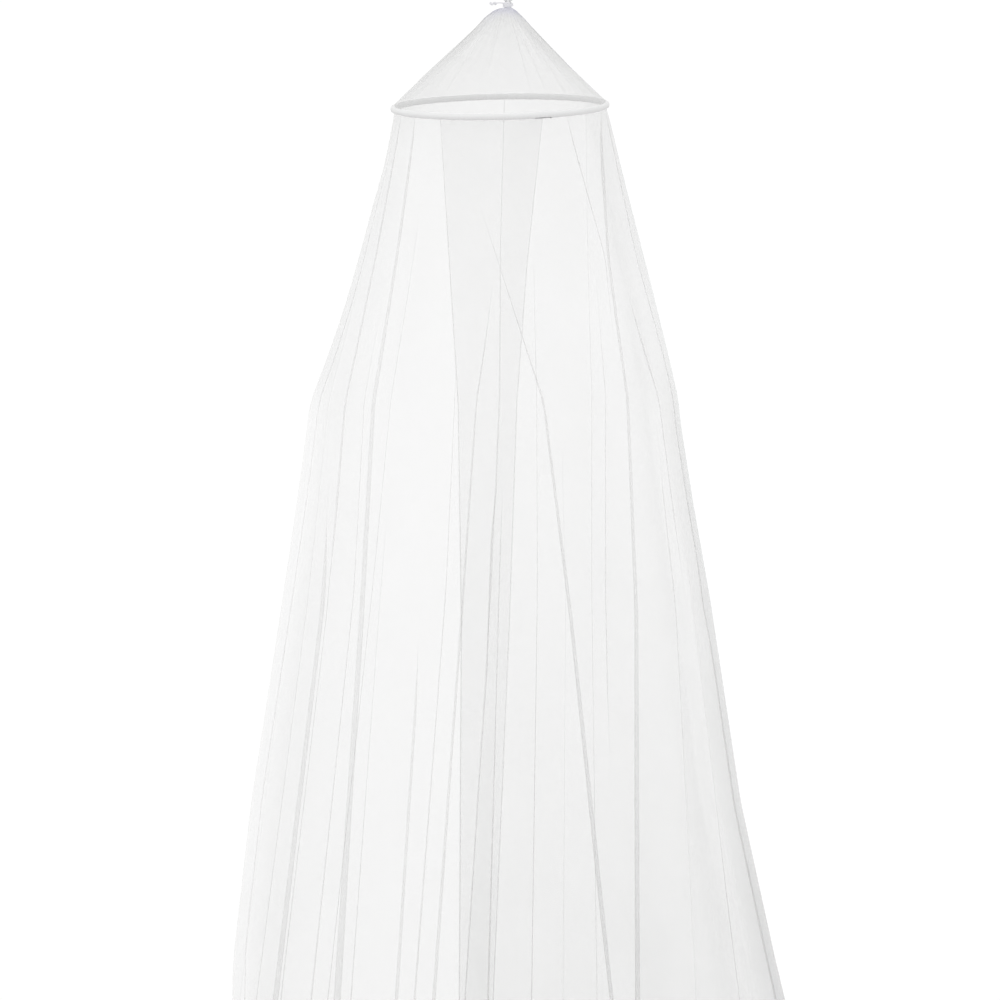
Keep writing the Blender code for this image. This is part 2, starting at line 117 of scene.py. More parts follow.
STEEP = 0.010                           # how soon a crest falls on its steep side
OVERHANG = 1.3                          # a crest leans over that side by this much of its rise
LEAN_MOST = 0.027                       # and by no more than this

# A line down the skirt: how far across it lies at each of POSITION_DROPS, its depth, the width
# that it fades over, and the drops where it starts and ends, if not at the hoop and the hem.
POSITION_DROPS = (EDGE_GAP, 0.370, 0.740, 1.260, HEM_DROP)
Fold = namedtuple("Fold", "side hoop upper kink lower hem depth fade starts ends",
                  defaults=(0, 0, 0, 0))
LEFT_EDGE = Fold("front", 0.106, 0.069, 0.043, 0.025, -0.028)
LEFT_FOLDS = [
    Fold("front", 0.030, -0.008, -0.060, -0.098, -0.189, 0.024, 0.08, starts=0.30),
    Fold("front", -0.150, -0.165, -0.173, -0.197, -0.280, 0.020, 0.12, starts=1.20),
    Fold("front", -0.212, -0.261, -0.319, -0.350, -0.432, 0.034, 0.14),
    Fold("front", -0.247, -0.313, -0.388, -0.432, -0.579, 0.020, 0.16),
    Fold("front", -0.258, -0.335, -0.410, -0.449, -0.599, 0.024, 0.04, starts=0.90),
    Fold("front", -0.266, -0.352, -0.464, -0.528, -0.684, 0.007, 0.10),
    Fold("back", -0.262, -0.335, -0.436, -0.492, -0.645, 0.009, 0.08, starts=0.30),
    Fold("back", -0.200, -0.272, -0.348, -0.378, -0.502, 0.013, 0.10, starts=0.45),
    Fold("back", -0.170, -0.216, -0.280, -0.331, -0.458, 0.012, 0.09, starts=0.20),
    Fold("back", -0.150, -0.198, -0.260, -0.309, -0.396, 0.012, 0.08, starts=0.95),
    Fold("back", -0.080, -0.096, -0.117, -0.141, -0.230, 0.016, 0.12, starts=0.45),
]
BACK_SEAM = Fold("back", 0.011, 0.001, -0.001, -0.022, -0.095)
RIGHT_EDGE = Fold("front", -0.149, -0.127, -0.105, -0.097, -0.104)
RIGHT_FOLDS = [
    Fold("front", -0.122, -0.004, 0.110, 0.179, 0.312, 0.034, 0.16, starts=0.10),
    Fold("front", 0.166, 0.262, 0.296, 0.320, 0.326, 0.021, 0.08, ends=0.40),
    Fold("front", 0.252, 0.272, 0.320, 0.343, 0.349, 0.026, 0.10),
    Fold("front", 0.256, 0.280, 0.382, 0.440, 0.502, 0.008, 0.07, starts=0.70),
    Fold("front", 0.260, 0.290, 0.398, 0.468, 0.600, 0.014, 0.04, starts=0.34, ends=1.00),
    Fold("front", 0.265, 0.340, 0.439, 0.510, 0.735, 0.016, 0.10),
    Fold("back", 0.240, 0.322, 0.410, 0.488, 0.634, 0.007, 0.10, starts=0.90),
    Fold("back", 0.226, 0.236, 0.272, 0.274, 0.300, 0.012, 0.03, starts=0.35, ends=1.50),
    Fold("back", 0.216, 0.223, 0.236, 0.238, 0.256, 0.011, 0.08),
    Fold("back", 0.130, 0.146, 0.155, 0.170, 0.166, 0.010, 0.08, starts=0.70),
    Fold("back", 0.070, 0.084, 0.095, 0.098, 0.084, 0.014, 0.05, starts=0.25),
    Fold("back", 0.045, 0.050, 0.054, 0.053, 0.044, 0.008, 0.04, starts=0.85),
    Fold("back", 0.030, 0.020, 0.014, -0.001, -0.030, 0.018, 0.016, starts=0.85),
]

# Waves round the net: how many there are in a whole turn, how far they reach, and their phase.
Wave = namedtuple("Wave", "count reach turn")
WAVES = [Wave(5, 0.010, 1.1), Wave(9, 0.010, 0.4), Wave(14, 0.007, 2.0)]
LAP_AT_HOOP = 0.0030        # the right panel lies this far out at the front, the left this far in
LAP_BELOW = 0.0130          # and this far, below LAP_FULL_BELOW
LAP_FULL_BELOW = 0.20
LAP_FADES_FROM, LAP_FADES_TO = 0.55, 1.15           # radians from the front

# The roof's rings up from the hoop: rise, radius, and the share that they have of the pleats'
# depth and of the hoop's shift aside.
Ring = namedtuple("Ring", "rise radius pleat aside")
ROOF = [
    Ring(EDGE_GAP + CLOTH / 3, 0.2660, 0.0, 1.0),
    Ring(0.037, 0.2370, 0.15, 1.00),
    Ring(0.077, 0.1955, 0.55, 0.91),
    Ring(0.117, 0.1511, 0.90, 0.75),
    Ring(0.158, 0.1068, 1.00, 0.62),
    Ring(0.198, 0.0670, 0.80, 0.50),
    Ring(0.224, 0.0434, 0.55, 0.48),
    Ring(0.240, 0.0245, 0.30, 0.38),
    Ring(0.2470, 0.0140, 0.10, 0.25),
    Ring(NECK_RISE - NECK_MARGIN, NECK_RADIUS, 0.0, 0.0),
    Ring(TIE_TOP + NECK_MARGIN, NECK_RADIUS, 0.0, 0.0),
    Ring(TIE_TOP + LIP_RISE, NECK_RADIUS + LIP_FLARE, 0.1, 0.0),
]
# A pleat's degrees from the front towards the right, its depth, and the width it falls away over.
Pleat = namedtuple("Pleat", "turn depth width")
ROOF_PLEATS = [
    Pleat(-75, 0.010, 0.012), Pleat(-60, 0.009, 0.008), Pleat(-37, 0.011, 0.006),
    Pleat(-14, 0.007, 0.007), Pleat(4, 0.005, 0.008), Pleat(19, 0.011, 0.006),
    Pleat(30, 0.008, 0.008), Pleat(44, 0.012, 0.006), Pleat(54, 0.009, 0.006),
    Pleat(78, 0.010, 0.012), Pleat(112, 0.010, 0.010), Pleat(146, 0.008, 0.009),
    Pleat(188, 0.009, 0.008), Pleat(221, 0.010, 0.010), Pleat(256, 0.009, 0.009),
]

# --- the finer cloth -----------------------------------------------------------------------------
CORNER = 0.022              # bends down the cloth are rounded over this, each way
ROUNDING = (-1, -0.5, 0, 0.5, 1)        # the places in it that are averaged
TOP_ROWS, TOP_ROWS_TO = 8, 0.12         # closer rows, just below the hoop
SKIRT_ROWS = 70
COLUMN_SPACING = 0.0050
NEAR_FOLD = (0.0010, 0.0022, 0.0037, 0.0055, 0.0080, 0.0120)            # closer columns, by a crest
NEAR_MOST = 0.3             # they take up no more of the way to the next crest
CREST_STEPS = 5             # rounds of moving the folds to their places
LEAST_SLOPE = 0.15          # metres across for a radian, so that no crest at a side is thrown far
LARGEST_MOVE = 0.08         # radians in a round
LEAST_APART = 0.02          # radians from one line to the next
ROOF_ROWS = 60
NECK_ROWS, NECK_ROWS_FROM = 24, 0.235   # closer rows, in the neck
ROOF_COLUMNS = 480
PUCKERS = (Wave(34, 1.0, 0.7), Wave(55, 0.7, 2.1))      # the roof's small gathers
PUCKER_DEPTH, PUCKER_RADIUS = 0.0012, 0.03              # full inside this radius
PUCKER_GROWTH = 4           # they are full from a quarter of the pleats' depth

# --- how much the net covers ---------------------------------------------------------------------
NET_PITCH = 0.0016
NET_HOLE = 0.22             # how strongly the holes show in it
NET_UNEVEN = 0.3            # how much it clouds over, from the thinnest place to the densest
NET_LAYER = 0.115           # one flat layer
NET_MOST = 0.95
LEAST_STRAIGHT = 0.40       # past this, a tilted net covers no more
TILTED = 0.5                # how much of the longer way through a tilted net counts
NET_TINTS = ((0.27, (0.62, 0.62, 0.615)), (0.42, (0.64, 0.64, 0.72)))   # bluer where it covers more
GATHER_DROPS = (0.0, 0.100, 0.500, 0.900, 1.260, 1.770, 2.160, HEM_DROP)
GATHERS = {                 # layers in the hanging net, which is closest near the hem
    LEFT: (1.3, 0.96, 0.88, 0.86, 0.94, 1.05, 1.17, 1.2),
    RIGHT: (1.35, 1.22, 1.03, 1.12, 1.27, 1.5, 1.8, 1.9),
}
SIDE_SHARES = (0.78, 0.86, 0.90, 0.94, 0.96, 0.985, 1.00)               # of the half-width
SIDE_COVERS = {             # times that, where it is seen edge-on at the sides
    LEFT: (1.0, 1.0, 1.0, 0.70, 0.55, 0.55, 0.55),
    RIGHT: (1.0, 0.75, 0.75, 0.90, 1.30, 1.40, 1.1),
}
SIDES_FROM, SIDES_OVER = 0.62, 0.20     # the drop where these begin, and the height they grow over
ROOF_LAYERS, ROOF_GATHERS = 1.10, 0.055             # layers, and what is added over the radius
NECK_COVER, LIP_COVER = 0.42, 0.22                  # the most under the tie, and above it
ROOF_EDGES, ROOF_EDGE_COVERS = (0.0, 0.018, 0.030), (0.24, 0.38, 0.0)   # added at its left and right
ROOF_EDGES_FULL = 0.08      # outside this radius

# --- turnings and stitches -----------------------------------------------------------------------
EDGE_TURNING = 0.0028       # the free edges and the seam are turned twice, this wide at most
EDGE_DROPS, EDGE_SHARES = (0.0, 0.5), (0.35, 1.0)               # of that width, down a free edge
SEAM_DROPS, SEAM_SHARES = (0.0, 0.35, 0.85), (0.2, 0.3, 0.65)   # and down the seam
HEM_TURNING = 0.013
LAYER = 0.0006              # between the layers of a turning
BEND = 0.08                 # of a turning's width
# A twice-turned edge, from its raw end to its fold: the share of its width, and its layer.
TURNED = ((BEND, 1.0), (1 - BEND, 1.0), (1.0, 1.5), (1 - BEND, 2.0), (BEND, 2.0), (0.0, 1.0))
STITCH_LENGTH, STITCH_EVERY, THREAD_RADIUS = 0.0026, 0.0034, 0.00014
STITCH_PLACES, STITCH_WIDTHS = (0.0, 0.5, 1.0), (0.35, 1.0, 0.35)       # its ends are thinner
STITCH_INSIDE = 0.8         # of a turning's width
HEM_STITCHES = 0.94         # of the hem's width
STITCH_PROUD = 0.35         # layers outside the cloth
STITCH_ASLANT = (0.31, 0.52, 0.79)      # a direction that no stitch has

# --- casing --------------------------------------------------------------------------------------
CASING_STEPS = 840
CASING_SIDES = 32
CASING_INSIDE = 0.0002      # its plain surface lies this far inside the solid's
SLOT_FROM, SLOT_TO = math.radians(-112), math.radians(-38)      # round the casing, from its outer side
CASING_SEAMS = (math.radians(112), math.radians(-118))
CASING_STITCHES_OUT = 0.0003
WRINKLE = Wave(151, 0.00022, 1.5)       # turn: how far the waves shift round the casing
FINE_WRINKLE = Wave(233, 0.00016, 2.0)
SLACK = Wave(38, 0.00025, 2.0)
JOINER_BULGE, JOINER_BULGE_OVER = 0.0009, 0.012

# --- cords ---------------------------------------------------------------------------------------
CORD_SIDES, CORD_STEP = 18, 0.0006
CORD_STRANDS, CORD_LAY = 3, 4.0         # the strands turn once in this many diameters
CORD_GROOVE = 0.14          # of the radius
CORD_CAP = 0.5              # of the radius, where an end closes
CORD_ASLANT = (0.3, 0.5, 0.8)           # a direction that no cord starts in
TIE_FROM, TIE_WOUND, TIE_STEPS = -190, 2.35, 120        # degrees, turns and points
TAIL_STEPS, LOOP_STEPS = 8, 6           # of the smooth path, from point to point
KNOT_LONG, KNOT_WIDE, KNOT_HIGH = (0.0062, 0.0024), (0.0024, 0.0026), 0.0030    # a trefoil's waves
KNOT_STEPS = 90
STRAND_POINTS, ARC_POINTS = 9, 17       # of the hanging loop

# --- colours -------------------------------------------------------------------------------------
CORD_WHITE = (0.91, 0.91, 0.94)
THREAD_WHITE = (0.80, 0.80, 0.80)
CASING_WHITE = (0.865, 0.865, 0.865)
ROD_WHITE = (0.75, 0.75, 0.74)
JOINER_GREY = (0.30, 0.30, 0.31)
FLOOR_WHITE = (0.80, 0.80, 0.80, 1)
CASING_PITCH = 0.0005       # of its weave
FIBRE_SCALE = (900.0, 5200.0, 1.0)      # of a cord's streaks: round it, and along it

# --- camera, floor and light ---------------------------------------------------------------------
FRAME_PIXELS = 1000
SENSOR = 36.0
CAMERA_AWAY = 20.0
CAMERA_ABOVE_HOOP = 1.9258
CAMERA_DOWN = math.radians(8.3185)
PIXELS_PER_TANGENT = 7990.8             # the lens: pixels of the picture for a tangent of 1
FLOOR_BELOW_HEM = 0.03
FLOOR_RADIUS = 0.88         # its far edge lies just below the picture
UPPER_LIGHT, LOWER_LIGHT = 0.95, 0.79   # of the dome, above level and below
SEEN_LIGHT = 1.03           # of the dome where the camera looks at it
DOME_BLEND = 0.5            # the dome's light changes from this far below level to this far above
SUN_STRENGTH = 0.40
SUN_WIDTH = math.radians(60)
SUN_LEAN = (math.radians(14), math.radians(-24), 0)
LAYERS_SEEN_THROUGH = 48


# --- materials -----------------------------------------------------------------------------------
class Nodes:
    """A new material and short calls to fill its node tree.

    A value is a number, a colour, or another node's output socket, which is then linked.
    """

    def __init__(self, name):
        self.material = bpy.data.materials.new(name)
        self.material.use_nodes = True
        self.tree = self.material.node_tree
        self.shader = self.tree.nodes["Principled BSDF"]

    def set(self, **values):
        """Give the shader its values; an underscore stands for a space in a socket's name."""
        for name, value in values.items():
            self.give(self.shader.inputs[name.replace("_", " ")], value)

    def add(self, kind, **inputs):
        node = self.tree.nodes.new("ShaderNode" + kind)
        for name, value in inputs.items():
            self.give(node.inputs[name.replace("_", " ")], value)
        return node

    def give(self, socket, value):
        if isinstance(value, bpy.types.NodeSocket):
            self.tree.links.new(value, socket)
        else:
            socket.default_value = value

    def math(self, operation, *values):
        node = self.tree.nodes.new("ShaderNodeMath")
        node.operation = operation
        for socket, value in zip(node.inputs, values):
            self.give(socket, value)
        return node.outputs[0]

    def ramp(self, value, *stops):
        """A colour ramp over the value, with a place and a colour for each stop."""
        node = self.add("ValToRGB", Fac=value)
        ramp = node.color_ramp
        while len(ramp.elements) < len(stops):
            ramp.elements.new(0.5)
        for element, (place, colour) in zip(ramp.elements, stops):
            element.position = place
            element.color = (*colour, 1)
        return node.outputs["Color"]

    def shade(self, value, colour, darkest, low=0.3):
        """The base colour: darker where the value is low, down to this share of the colour."""
        dark = [part * darkest for part in colour]
        self.set(Base_Color=self.ramp(value, (low, dark), (1 - low, colour)))

    def bump(self, height, strength, distance):
        node = self.add("Bump", Height=height, Strength=strength, Distance=distance)
        self.set(Normal=node.outputs["Normal"])


def net_material():
    """Sheer knitted net: six-sided holes, and more cover where the cloth turns away or is gathered."""
    build = Nodes("net")
    build.set(Roughness=0.7, Specular_IOR_Level=0.25, Sheen_Weight=0.2, Sheen_Roughness=0.45)
    build.material.surface_render_method = "BLENDED"
    place = build.add("UVMap").outputs[0]
    split = build.add("SeparateXYZ", Vector=place)
    waves = []
    for turn in (0, 60, 120):
        across = build.math("MULTIPLY", split.outputs["X"], math.cos(math.radians(turn)))
        place_on = build.math("MULTIPLY_ADD", split.outputs["Y"], math.sin(math.radians(turn)), across)
        waves.append(build.math("COSINE", build.math("MULTIPLY", place_on, 2 * math.pi / NET_PITCH)))
    hole = build.math("ADD", build.math("ADD", waves[0], waves[1]), waves[2])
    thread = build.math("MULTIPLY_ADD", hole, -NET_HOLE, 1.0)
    gathered = build.add("Attribute")
    gathered.attribute_name = "cover"
    cloud = build.add("TexNoise", Vector=place, Scale=6.0, Detail=2.0).outputs["Fac"]
    uneven = build.math("MULTIPLY_ADD", cloud, NET_UNEVEN, 1.0 - NET_UNEVEN / 2)
    cover = build.math("MULTIPLY", gathered.outputs["Fac"], uneven)
    cover = build.math("MINIMUM", build.math("MULTIPLY", cover, thread), NET_MOST)
    facing = build.add("LayerWeight", Blend=0.5).outputs["Facing"]
    straight = build.math("MAXIMUM", build.math("SUBTRACT", 1.0, facing), LEAST_STRAIGHT)
    threads = build.math("MULTIPLY_ADD", build.math("DIVIDE", 1.0, straight), TILTED, 1.0 - TILTED)
    clear = build.math("POWER", build.math("SUBTRACT", 1.0, cover), threads)
    build.set(Alpha=build.math("SUBTRACT", 1.0, clear))
    build.set(Base_Color=build.ramp(gathered.outputs["Fac"], *NET_TINTS))
    build.bump(thread, strength=0.3, distance=0.0003)
    return build.material


def woven_material(name, colour, pitch, roughness):
    """A close plain weave, its threads crossing at the pitch; its colour has painted shade where the
    weave dips, over random cloudy tone.
    """
    build = Nodes(name)
    build.set(Roughness=roughness, Specular_IOR_Level=0.3, Sheen_Weight=0.3, Sheen_Roughness=0.4)
    place = build.add("UVMap").outputs[0]
    split = build.add("SeparateXYZ", Vector=place)
    warp = build.math("SINE", build.math("MULTIPLY", split.outputs["X"], 2 * math.pi / pitch))
    weft = build.math("SINE", build.math("MULTIPLY", split.outputs["Y"], 2 * math.pi / pitch))
    over = build.math("MULTIPLY_ADD", build.math("MULTIPLY", warp, weft), 0.5, 0.5)
    cloud = build.add("TexNoise", Vector=place, Scale=40.0, Detail=3.0).outputs["Fac"]
    # painted shade: the colour follows the weave's bump, darker where the threads dip, mixed half and
    # half with random cloudy tone
    light = build.math("MULTIPLY_ADD", over, 0.5, build.math("MULTIPLY", cloud, 0.5))
    build.shade(light, colour, darkest=0.93, low=0.25)
    build.bump(over, strength=0.5, distance=pitch / 4)
    return build.material


def cord_material(name, colour):
    """Cord or thread: fine uneven streaks of fibre, and a little fuzz."""
    build = Nodes(name)
    build.set(Roughness=0.8, Specular_IOR_Level=0.25, Sheen_Weight=0.4, Sheen_Roughness=0.5)
    place = build.add("Mapping", Vector=build.add("UVMap").outputs[0], Scale=FIBRE_SCALE).outputs[0]
    fibre = build.add("TexNoise", Vector=place, Scale=1.0, Detail=2.0).outputs["Fac"]
    build.shade(fibre, colour, darkest=0.82)
    build.bump(fibre, strength=0.5, distance=0.0003)
    return build.material


def plastic_material(name, colour, roughness):
    """Extruded plastic: a faint mottle, fine marks and an uneven gloss."""
    build = Nodes(name)
    build.set(Specular_IOR_Level=0.5)
    place = build.add("TexCoord").outputs["Object"]
    mottle = build.add("TexNoise", Vector=place, Scale=60.0, Detail=3.0).outputs["Fac"]
    build.shade(mottle, colour, darkest=0.92)
    build.set(Roughness=build.math("MULTIPLY_ADD", mottle, 0.2, roughness - 0.1))
    marks = build.add("TexNoise", Vector=place, Scale=900.0, Detail=1.0).outputs["Fac"]
    build.bump(marks, strength=0.15, distance=0.0001)
    return build.material


# --- shapes --------------------------------------------------------------------------------------
def smooth_step(value):
    """An even ease from 0 to 1, for values from 0 to 1."""
    value = np.clip(value, 0.0, 1.0)
    return value * value * (3.0 - 2.0 * value)


def rounded(drop, places, amounts):
    """A table read at a drop, with its corners rounded over CORNER each way."""
    reach = max(0.0, min(CORNER, drop - places[0], places[-1] - drop))
    return float(np.mean([np.interp(drop + reach * step, places, amounts) for step in ROUNDING]))


def two_spacings(start, change, end, before, after):
    """Places from start to end: as many as before says up to the change, then as many as after."""
    return np.concatenate([np.linspace(start, change, before), np.linspace(change, end, after)[1:]])


def lengths_along(path):
    """How far along a path each of its points lies."""
    return np.concatenate([[0.0], np.cumsum(np.linalg.norm(np.diff(path, axis=0), axis=1))])


def points_at(path, along, places):
    """The points of a path at these lengths along it."""
    return np.column_stack([np.interp(places, along, path[:, axis]) for axis in range(3)])


def level_at(drop):
    """The skirt's outline at any drop, read from its table."""
    drops, *columns = zip(*SKIRT)
    return Level(drop, *[rounded(drop, drops, column) for column in columns])


def girth(level):
    """The mean radius, which turns an angle into a length round the skirt."""
    return (level.left + level.right + 2 * level.deep) / 4


def hoop_lift(across):
    """How far the rolled hoop is raised at a place across it."""
    return -math.tan(HOOP_ROLL) * across


def fold_across(fold, level):
    """How far a fold lies across from the hoop's middle, kept inside the outline."""
    places = (fold.hoop, fold.upper, fold.kink, fold.lower, fold.hem)
    across = rounded(level.drop, POSITION_DROPS, places)
    return max(-FOLD_REACH * level.left, min(FOLD_REACH * level.right, across))


def fold_angle(fold, level):
    """Where a fold lies on the plain oval, from the front (0) to the right (+) or to the left (-)."""
    across = fold_across(fold, level)
    angle = math.asin(across / (level.right if across > 0 else level.left))
    return angle if fold.side == "front" else math.pi - angle


def fold_height(distance, fade):
    """A fold's rise: a crest at 0, steep behind it, and a slow fade over the distance ahead of it."""
    behind = np.exp(np.minimum(0.0, distance) / STEEP)
    return behind * np.maximum(0.0, 1.0 - np.maximum(0.0, distance) / fade) ** 2


def fold_depth(fold, level):
    """How deep a fold is at a level, between the drops where it starts and ends."""
    grown = smooth_step((level.drop - fold.starts) / FOLD_CHANGES_OVER) if fold.starts else 1.0
    gone = smooth_step((level.drop - fold.ends) / FOLD_CHANGES_OVER) if fold.ends else 0.0
    more = np.interp(level.drop, TOP_DROPS, TOP_SWINGS)
    return fold.depth * level.swing * grown * (1.0 - gone) * more


def skirt_row(level, angles, layers, folds, stops, side):
    """Points round one level: an oval, pushed out or in by the lap, the waves and the folds.

    The first and the last of the stops are the free edge and the seam, and the others the folds.
    """
    wide = np.where(np.sin(angles) > 0, level.right, level.left)
    across, along = wide * np.sin(angles), -level.deep * np.cos(angles)
    out_x, out_y = np.sin(angles) / wide, -np.cos(angles) / level.deep
    length = np.hypot(out_x, out_y)
    push = side * np.interp(level.drop, (0, LAP_FULL_BELOW), (LAP_AT_HOOP, LAP_BELOW))
    faded = smooth_step((np.abs(angles) - LAP_FADES_FROM) / (LAP_FADES_TO - LAP_FADES_FROM))
    push = push * (1.0 - faded) - layers * LAYER
    aside = np.zeros(len(angles))
    for wave in WAVES:
        push = push + level.swing * wave.reach * np.sin(wave.count * angles + wave.turn)
    for fold, place in zip(folds, stops[1:-1]):
        fades_to = -side if fold.side == "front" else side
        distance = fades_to * (angles - place) * girth(level)
        rise = fold_depth(fold, level) * fold_height(distance, fold.fade)
        push = push + rise
        lean = min(OVERHANG, LEAN_MOST / fold.depth) * abs(math.cos(place))
        aside = aside - fades_to * lean * rise
    x = across + (push * out_x - aside * out_y) / length
    y = along + (push * out_y + aside * out_x) / length
    top = hoop_lift(x) * (1.0 - level.drop / HEM_DROP)
    front_up = -y * rounded(level.drop, TILT_DROPS, TILTS)
    return np.column_stack([x + HOOP_ASIDE, y, -HOOP_DROP - level.drop + top + front_up])


def add_to_scene(thing):
    """Link a new object to the scene, and return it."""
    bpy.context.scene.collection.objects.link(thing)
    return thing


def grid_object(name, rows, closed, material, cover=None, skip=None):
    """A sheet over rows of points, with its lengths as UVs and how much each point covers."""
    rows = np.asarray(rows)
    count = rows.shape[1]
    here = np.arange(count if closed else count - 1)
    following = (here + 1) % count
    faces = []
    for row in range(len(rows) - 1):
        low, high = row * count, (row + 1) * count
        faces.append(np.column_stack([low + here, high + here, high + following, low + following]))
    faces = np.concatenate(faces)
    if skip is not None:
        faces = faces[~skip.reshape(-1)]
    mesh = bpy.data.meshes.new(name)
    mesh.from_pydata(rows.reshape(-1, 3).tolist(), [], faces.tolist())
    if cover is not None:
        attribute = mesh.attributes.new("cover", "FLOAT", "POINT")
        attribute.data.foreach_set("value", np.asarray(cover, np.float32).ravel())
    steps = np.linalg.norm(np.diff(rows, axis=1), axis=2)
    across = np.concatenate([np.zeros((len(rows), 1)), np.cumsum(steps, axis=1)], axis=1)
    drops = np.linalg.norm(np.diff(rows, axis=0), axis=2).mean(axis=1)
    along = np.repeat(np.concatenate([[0.0], np.cumsum(drops)])[:, None], count, axis=1)
    lengths = np.stack([across, along], axis=2).reshape(-1, 2)
    layer = mesh.uv_layers.new(name="lengths")
    layer.data.foreach_set("uv", lengths[faces.ravel()].astype(np.float32).ravel())
    mesh.shade_smooth()
    mesh.materials.append(material)
    return add_to_scene(bpy.data.objects.new(name, mesh))


def dress(piece, slot, *nodes):
    """The piece stands for its CAD nodes, if any, which are hidden, and is attached to the root body."""
    if nodes:
        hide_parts(*nodes)
    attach(piece, "root")
    return piece


def panel_stops(edge, folds, side, level):
    """The angles of the free edge, the folds and the seam.

    They are moved in a few steps until each crest, which leans, is at its place across.
    """
    lines = [edge, *folds, BACK_SEAM]
    whole_turn = 0.0 if side == RIGHT else 2 * math.pi
    behind = np.array([line.side == "back" for line in lines])
    angles = np.array([fold_angle(line, level) for line in lines]) - whole_turn * behind
    wanted = np.array([fold_across(line, level) for line in lines])
    for _ in range(CREST_STEPS):
        row = skirt_row(level, angles, np.zeros(len(lines)), folds, angles, side)
        slope = np.where(np.sin(angles) > 0, level.right, level.left) * np.cos(angles)
        slope = np.where(slope < 0, -1, 1) * np.maximum(np.abs(slope), LEAST_SLOPE)
        moved = angles + np.clip((wanted + HOOP_ASIDE - row[:, 0]) / slope, -LARGEST_MOVE, LARGEST_MOVE)
        same_side = np.sign(np.cos(moved)) == np.sign(np.cos(angles))
        angles = np.where(same_side, moved, angles)
        angles = side * np.maximum.accumulate(side * angles + np.arange(len(lines)) * -LEAST_APART)
        angles = angles + side * np.arange(len(lines)) * LEAST_APART
    return angles.tolist()


def between_stops(table, levels):
    """How many columns go between each two stops, from where they lie widest apart."""
    girths = np.array([girth(level) for level in levels])
    widest = np.max(np.abs(np.diff(table, axis=1)) * girths[:, None], axis=0)
    return np.ceil(widest / COLUMN_SPACING).astype(int)


def edge_turning(level):
    """The turning of the free edges, which narrows towards the hoop."""
    return EDGE_TURNING * np.interp(level.drop, EDGE_DROPS, EDGE_SHARES)


def seam_turning(level):
    """The turning of the back seam, which narrows more."""
    return EDGE_TURNING * np.interp(level.drop, SEAM_DROPS, SEAM_SHARES)


def panel_columns(stops, counts, level, side):
    """Angles and layers along a row: the turned edge, the cloth between its folds, the turned seam."""
    turned = [(side * share / girth(level), layer) for share, layer in TURNED]
    angles = [[stops[0] + step * edge_turning(level) for step, _ in turned]]
    for start, end, count in zip(stops, stops[1:], counts):
        size = girth(level) * abs(end - start)
        near = np.array(NEAR_FOLD) / size * min(1.0, NEAR_MOST * size / NEAR_FOLD[-1])
        middle = np.linspace(near[-1], 1 - near[-1], count + 2)[1:-1]
        parts = np.concatenate([[0.0], near, middle, 1 - near[::-1]])
        angles.append(start + (end - start) * parts)
    angles[1] = angles[1][1:]
    angles.append([stops[-1] - step * seam_turning(level) for step, _ in reversed(turned)])
    layers = [[layer for _, layer in turned], np.zeros(sum(map(len, angles[1:-1]))),
              [layer for _, layer in reversed(turned)]]
    return np.concatenate(angles), np.concatenate(layers)


def stitch_faces(base):
    """The faces of one stitch, whose three rings of four points start at base."""
    faces = []
    for ring in (base, base + 4):
        for here, after in ((0, 1), (1, 2), (2, 3), (3, 0)):
            faces.append((ring + here, ring + after, ring + 4 + after, ring + 4 + here))
    faces.append((base + 3, base + 2, base + 1, base))
    faces.append((base + 8, base + 9, base + 10, base + 11))
    return faces


def stitches(name, paths, material):
    """Separate stitches along paths of points: each one a short thread that bulges in its middle."""
    points, faces = [], []
    for path in map(np.asarray, paths):
        along = lengths_along(path)
        for start in np.arange(0.0, along[-1] - STITCH_LENGTH, STITCH_EVERY):
            middles = points_at(path, along, start + STITCH_LENGTH * np.array(STITCH_PLACES))
            forward = (middles[2] - middles[0]) / STITCH_LENGTH
            sideways = np.cross(forward, STITCH_ASLANT)
            sideways /= np.linalg.norm(sideways)
            upward = np.cross(forward, sideways)
            faces += stitch_faces(len(points))
            for middle, reach in zip(middles, THREAD_RADIUS * np.array(STITCH_WIDTHS)):
                points += [middle + reach * sideways, middle + reach * upward,
                           middle - reach * sideways, middle - reach * upward]
    mesh = bpy.data.meshes.new(name)
    mesh.from_pydata([tuple(point) for point in points], [], faces)
    mesh.shade_smooth()
    mesh.materials.append(material)
    return add_to_scene(bpy.data.objects.new(name, mesh))


def panel_seams(levels, table, counts, folds, side):
    """The stitched lines of a panel: its free edge, its seam, and the top of its hem."""
    edge, seam = [], []
    for level, stops in zip(levels, table):
        inside = side * STITCH_INSIDE / girth(level)
        at_edge = stops[0] + inside * edge_turning(level)
        at_seam = stops[-1] - inside * seam_turning(level)
        proud = np.full(2, -STITCH_PROUD)
        pair = skirt_row(level, np.array([at_edge, at_seam]), proud, folds, stops, side)
        edge.append(pair[0])
        seam.append(pair[1])
    level = level_at(HEM_DROP - HEM_STITCHES * HEM_TURNING)
    angles, _ = panel_columns(table[-1], counts, level, side)
    proud = np.full(len(angles), -STITCH_PROUD)
    return [edge, seam, skirt_row(level, angles, proud, folds, table[-1], side)]


def panel_cover(drop, angles, side):
    """How much the net covers along a row of a panel."""
    at_side = np.interp(np.abs(np.sin(angles)), SIDE_SHARES, SIDE_COVERS[side]) - 1.0
    at_side = 1.0 + at_side * smooth_step((drop - SIDES_FROM) / SIDES_OVER)
    return NET_LAYER * rounded(drop, GATHER_DROPS, GATHERS[side]) * at_side


